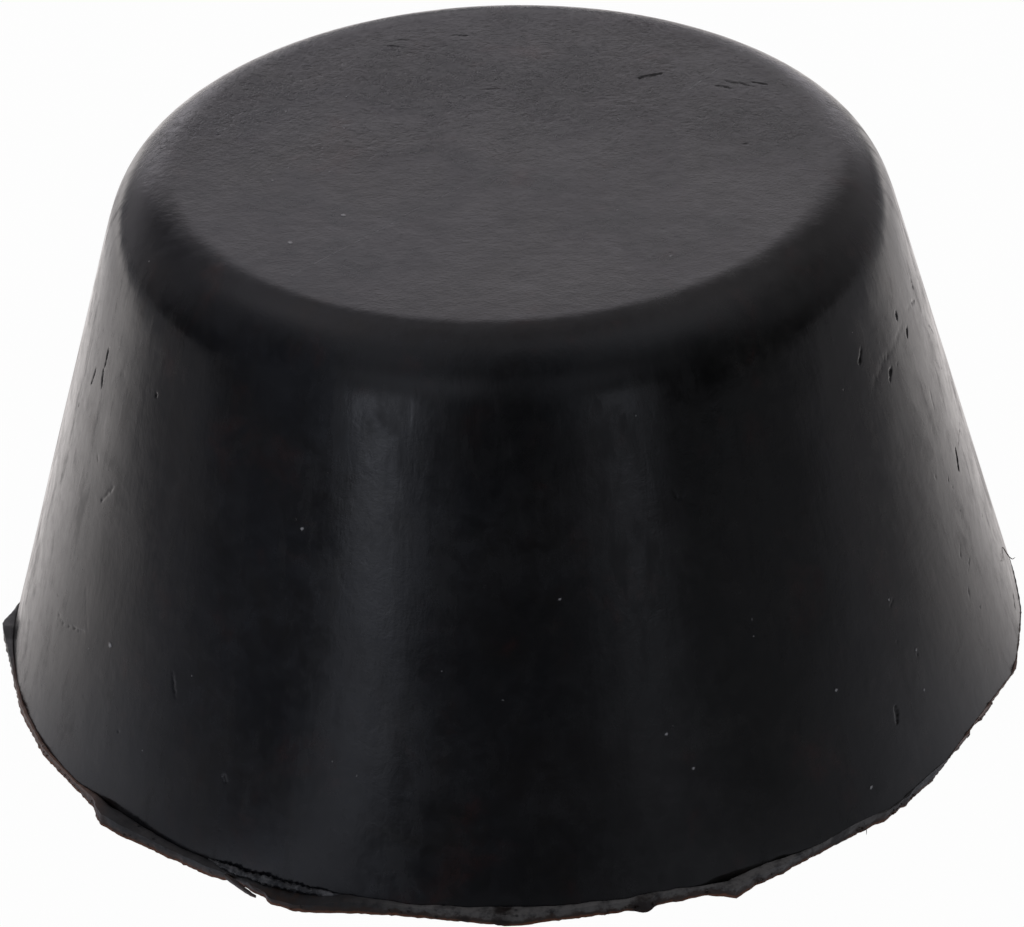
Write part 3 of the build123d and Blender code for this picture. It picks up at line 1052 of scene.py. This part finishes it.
def crumb_tree():
    """Crumbs of torn rubber scattered along the cut edge between two bearings."""
    inputs = ("Count:Int, Seed:Int, From, To, Size, Reach, Edge Height, Wall Foot, Wall Taper, Box Low:Vector, "
              "Box High:Vector, Cut Rubber:Material")
    g, given, out = new_group("Crumbs", "GeometryNodeTree", inputs, "Geometry:Geometry")
    g.tree.is_modifier = True
    outline = trimmed_outline_group()

    def chance(low, high, draw):
        return g.field("FunctionNodeRandomValue", {2: low, 3: high, 8: given["Seed"] + draw}, 1, data_type="FLOAT")

    bearing = chance(given["From"], given["To"], 1)
    level = chance(0.02, 0.55, 2) * given["Edge Height"]
    edge = g.use(outline, {"Bearing": bearing, "Height": level, "Wall Foot": given["Wall Foot"],
                           "Wall Taper": given["Wall Taper"]})["Reach"]
    radius = edge + chance(-0.3, 1.0, 3) * given["Reach"]
    place = g.around(radius, bearing, level)
    points = g.node("GeometryNodePoints", {"Count": given["Count"], "Position": place})
    ball = g.node("GeometryNodeMeshIcoSphere", {"Radius": 1.0, "Subdivisions": 2})
    turn = g.combine(chance(0.0, 6.28, 4), chance(0.0, 6.28, 5), chance(0.0, 6.28, 6))
    turned = g.node("FunctionNodeEulerToRotation", {"Euler": turn})
    size = given["Size"] * chance(0.45, 1.0, 7)
    scale = g.combine(size, size * chance(0.5, 0.9, 8), size * chance(0.35, 0.8, 9))
    scattered = g.node("GeometryNodeInstanceOnPoints", {
        "Points": points.outputs[0], "Instance": ball.outputs["Mesh"], "Rotation": turned.outputs[0], "Scale": scale})
    real = g.node("GeometryNodeRealizeInstances", {"Geometry": scattered.outputs[0]})
    here = g.field("GeometryNodeInputPosition")
    torn = g.node("ShaderNodeTexNoise", {"Vector": here, "Scale": 3.2 / MM, "Detail": 2.0})
    shove = g.vector("SUBTRACT", Field(g, torn.outputs["Color"]), (0.5, 0.5, 0.5))
    shoved = g.vector("ADD", here, g.vector("MULTIPLY", shove, (0.3 * MM, 0.3 * MM, 0.3 * MM)))
    held = g.vector("MAXIMUM", g.vector("MINIMUM", shoved, given["Box High"]), given["Box Low"])
    moved = g.node("GeometryNodeSetPosition", {"Geometry": real.outputs[0], "Position": held})
    finished = g.node("GeometryNodeSetMaterial", {"Geometry": moved.outputs[0], "Material": given["Cut Rubber"]})
    g.feed(out.inputs["Geometry"], finished.outputs[0])
    return g.tree


def make_crumbs(cut):
    """All the crumbs, as one piece."""
    tree = crumb_tree()
    rows = []
    for seed, (start, end, count, size, reach) in enumerate(crumb_rows):
        values = {"Count": count, "Seed": 20 * seed + 3, "From": radians(start), "To": radians(end),
                  "Size": size * MM, "Reach": reach * MM, "Edge Height": flash_thickness,
                  "Wall Foot": foot_radius + wall_taper * flash_thickness, "Wall Taper": wall_taper,
                  "Box Low": cad_box[0], "Box High": cad_box[1], "Cut Rubber": cut}
        rows.append(grown_mesh("crumbs_%02d" % seed, tree, values))
    bm = bmesh.new()
    for row in rows:
        bm.from_mesh(row.data)
        bpy.data.objects.remove(row)
    return mesh_object("flash_crumbs", bm, cut)


def make_ribbon(name, stations, finish, torn, sides=12, steps=9):
    """A strip of rubber of oval section that swells and tapers along its stations."""
    rows = np.array(stations)
    at = np.linspace(0, len(rows) - 1, (len(rows) - 1) * steps + 1)
    fine = np.stack([np.interp(at, np.arange(len(rows)), column) for column in rows.T], axis=1)
    kernel = np.hanning(steps + 3)
    kernel /= kernel.sum()
    padded = np.pad(fine, ((len(kernel) // 2,) * 2, (0, 0)), mode="edge")
    fine = np.stack([np.convolve(column, kernel, mode="valid") for column in padded.T], axis=1)[:len(at)]
    bm = bmesh.new()
    rings = []
    for bearing, radius, level, half_width, half_thickness in fine:
        b = radians(bearing)
        ring = []
        for side in range(sides):
            turn = 2 * pi * side / sides
            # A little unevenness, so that the strip looks torn rather than drawn
            swell = 1.0 + torn * lattice.noise(Vector((bearing * 2.6, cos(turn) * 1.4, sin(turn) * 1.4)))
            r = (radius + half_width * swell * cos(turn)) * MM
            z = max(0.01, level + half_thickness * swell * sin(turn)) * MM
            ring.append(bm.verts.new((r * cos(b), r * sin(b), z)))
        rings.append(ring)
    for first, second in zip(rings, rings[1:]):
        for side in range(sides):
            after = (side + 1) % sides
            bm.faces.new((first[side], first[after], second[after], second[side]))
    bm.faces.new(rings[0])
    bm.faces.new(rings[-1])
    bmesh.ops.recalc_face_normals(bm, faces=bm.faces)
    if bm.calc_volume(signed=True) < 0:
        bmesh.ops.reverse_faces(bm, faces=bm.faces)
    for face in bm.faces:
        face.smooth = True
    return mesh_object(name, bm, finish)


# ---- Floor, light and camera ----

camera_elevation = 30.51  # degrees, from the middle of the pad
camera_distance = 568.7 * MM
camera_lens = 206.0
camera_aim = Vector((0.09, 0.0, 18.6)) * MM
camera_roll = 2.14  # degrees
pad_middle = 27.0 * MM  # the height that the camera turns about

table_radius = 900.0 * MM
table_gap = 0.02 * MM  # by which the table lies under the pad, so that their faces do not fight

paper_edge = -20.0 * MM  # where the white paper under the pad ends, towards the user
paper_shade, table_shade = 0.80, 0.16
floor_glow = 0.98  # how much of the floor's look to the camera is plain white
front_glow, back_glow = 0.03, 0.92  # of the paper in the pad's gloss, in front and behind
glow_centre, glow_radius, glow_fade = (-15.0 * MM, 200.0 * MM, 0.0), 215.0 * MM, 45.0 * MM  # the bright round
dim_centre, dim_radius, dim_fade, dim_part = (102.0 * MM, 120.0 * MM, 0.0), 45.0 * MM, 22.0 * MM, 0.60  # on either side
# Streaks of light along the table in front, seen in the gloss: azimuth, half width in degrees, brightness
table_streaks = [(-33, 7, 0.38), (-62, 16, 0.06), (26, 9, 0.10), (60, 18, 0.08)]
glow_tint = (1.0, 0.94, 0.905, 1)
back_tint, front_tint = (1.0, 0.955, 1.02, 1), (0.93, 0.97, 1.10, 1)  # of the tent's light

# The tent's soft panels: azimuth (0 is the user's side, 90 the right), elevation and half width in
# degrees, and brightness, where 1 is white.
room_light = 0.03
soft_panels = [
    (180, 25, 8, 0.9), (165, 25, 8, 0.73), (-165, 25, 8, 0.3), (-165, 13, 8, 1.05), (-165, 2, 8, 0.8),
    (165, 3, 8, 1.25), (150, 12, 9, 0.18), (-150, 12, 10, 0.24), (165, 47, 8, 0.12), (-165, 47, 8, 0.22),
    (180, 56, 14, 0.14), (-135, 56, 14, 0.45), (135, 56, 14, 0.3), (90, 56, 14, 0.22), (-90, 56, 14, 0.1),
    (-45, 56, 14, 0.28), (45, 56, 14, 0.15), (-90, 76, 14, 0.25), (90, 76, 14, 0.25), (135, 28, 14, 0.18),
    (-120, 28, 16, 0.15), (90, 28, 14, 0.13), (-90, 28, 14, 0.11), (112, 20, 14, 0.08), (-135, 2, 14, 0.3),
    (135, 2, 14, 0.17), (112, 2, 14, 0.08), (-65, 2, 14, 0.14), (-35, 3, 6, 1.65), (30, 3, 6, 0.58),
    (-34, 12, 6, 0.3), (-22, 28, 12, 0.36), (-45, 28, 12, 0.25), (22, 28, 12, 0.19), (45, 28, 12, 0.06),
    (-22, 3, 12, 0.13), (22, 3, 12, 0.08),
]


def soft_panel(g, panel, direction, azimuth, elevation, half_width, strength):
    """The brightness of one soft panel in a direction."""
    a, e = radians(azimuth), radians(elevation)
    values = {"Direction": direction, "Toward": (sin(a) * cos(e), -cos(a) * cos(e), sin(e)),
              "Brightness": strength, "Tightness": log(2) / (1 - cos(radians(half_width)))}
    return g.use(panel, values)["Brightness"]


def make_floor(panel):
    """A table under white paper that ends just in front of the pad, so the pad's front sees dark table.
    To the camera it is white all over, with the pad's soft shadow on it. In the gloss of the pad the
    paper shows brighter behind the pad, where the backdrop shines along it."""
    material, g, shader, surface = start_material("white_table")
    place = g.field("ShaderNodeTexCoord", output="Object")
    x, y, _ = g.split(place)
    paper = g.ramp(y, paper_edge - 70 * MM, paper_edge, table_shade, paper_shade)
    g.feed(shader.inputs["Base Color"], g.combine(paper, paper, paper))
    shader.inputs["Roughness"].default_value = 0.9
    shader.inputs["Specular IOR Level"].default_value = 0.1
    rays = g.node("ShaderNodeLightPath")
    seen, mirrored = Field(g, rays.outputs["Is Camera Ray"]), Field(g, rays.outputs["Is Glossy Ray"])
    away = g.vector("DISTANCE", place, glow_centre, output=1)
    glow = g.ramp(away, glow_radius - glow_fade, glow_radius + glow_fade, back_glow, front_glow)
    aside = g.combine(g.math("ABSOLUTE", x), y, 0.0)
    from_dim = g.vector("DISTANCE", aside, dim_centre, output=1)
    glow = glow * g.ramp(from_dim, dim_radius - dim_fade, dim_radius + dim_fade, dim_part, 1.0)
    direction = g.vector("NORMALIZE", g.combine(x, y, 0.0))
    for azimuth, half_width, strength in table_streaks:
        glow = soft_panel(g, panel, direction, azimuth, 0, half_width, strength) + glow
    glow = glow * mirrored
    glow_colour = mix_colour(g, g.ramp(y, -45 * MM, 0.0), front_tint, glow_tint)
    shine = g.node("ShaderNodeEmission", {"Color": glow_colour, "Strength": glow})
    lit = g.node("ShaderNodeAddShader")
    g.feed(lit.inputs[0], shader.outputs[0])
    g.feed(lit.inputs[1], shine.outputs[0])
    white = g.node("ShaderNodeEmission", {"Color": (1, 1, 1, 1), "Strength": 1.0})
    mixed = g.node("ShaderNodeMixShader", {0: seen * floor_glow, 1: lit.outputs[0], 2: white.outputs[0]})
    g.feed(surface.inputs["Surface"], mixed.outputs[0])
    bm = bmesh.new()
    bmesh.ops.create_circle(bm, cap_ends=True, segments=96, radius=table_radius)
    floor = mesh_object("table", bm, material)
    floor.location.z = -table_gap


def soft_panel_group():
    """How bright a soft-edged round panel of the tent is in one direction."""
    inputs = "Direction:Vector, Toward:Vector, Tightness, Brightness"
    g, given, out = new_group("Soft panel", "ShaderNodeTree", inputs, "Brightness")
    facing = g.vector("DOT_PRODUCT", given["Direction"], given["Toward"], output=1)
    falloff = g.math("EXPONENT", (facing - 1.0) * given["Tightness"])
    g.feed(out.inputs["Brightness"], falloff * given["Brightness"])
    return g.tree


def make_world(panel):
    """A tent of soft panels round the pad: bright low down behind it, dim in front."""
    world = bpy.data.worlds.new("tent")
    world.use_nodes = True
    world.node_tree.nodes.clear()
    g = Graph(world.node_tree)
    direction = g.field("ShaderNodeTexCoord", output="Generated")
    brightness = room_light
    for azimuth, elevation, half_width, strength in soft_panels:
        brightness = soft_panel(g, panel, direction, azimuth, elevation, half_width, strength) + brightness
    tint = mix_colour(g, g.ramp(g.split(direction)[1], -0.5, 0.5), front_tint, back_tint)
    tent = g.node("ShaderNodeBackground", {"Color": tint, "Strength": brightness})
    white = g.node("ShaderNodeBackground", {"Color": (1, 1, 1, 1), "Strength": 1.0})
    camera_ray = g.field("ShaderNodeLightPath", output="Is Camera Ray")
    mixed = g.node("ShaderNodeMixShader", {0: camera_ray, 1: tent.outputs[0], 2: white.outputs[0]})
    g.node("ShaderNodeOutputWorld", {"Surface": mixed.outputs[0]})
    bpy.context.scene.world = world


def make_camera():
    camera = bpy.data.cameras.new("camera")
    camera.lens = camera_lens
    camera.clip_start, camera.clip_end = 0.01, 10.0
    holder = place_object("camera", camera)
    e = radians(camera_elevation)
    middle = Vector((0, 0, pad_middle))
    holder.location = middle + Vector((0, -cos(e), sin(e))) * camera_distance
    look = (camera_aim - holder.location).to_track_quat("-Z", "Y").to_matrix().to_4x4()
    holder.rotation_euler = (look @ Matrix.Rotation(radians(-camera_roll), 4, "Z")).to_euler()
    bpy.context.scene.camera = holder


# ---- Assembly ----

effects = {"grain": grain_group(), "leather": leather_group(), "drag": drag_group(),
           "bloom": bloom_group(), "tint": tint_group(), "speckle": speckle_group(), "hairline": hairline_group()}
rubber, cut = moulded_rubber(effects), cut_rubber(effects)
pad = make_pad(rubber, cut)
press_marks(pad)
pieces = [pad, make_crumbs(cut)]
for name, stations in ribbons.items():
    rolled = name == "rolled_lip"
    finish = rolled_rubber(effects) if rolled else cut
    pieces.append(make_ribbon(name, stations, finish, 0.75 if rolled else 0.2))
for piece in pieces:
    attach(piece, "root")
    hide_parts("rubber_pad")

panel = soft_panel_group()
make_floor(panel)
make_world(panel)
make_camera()
bpy.context.scene.view_settings.view_transform = "Standard"
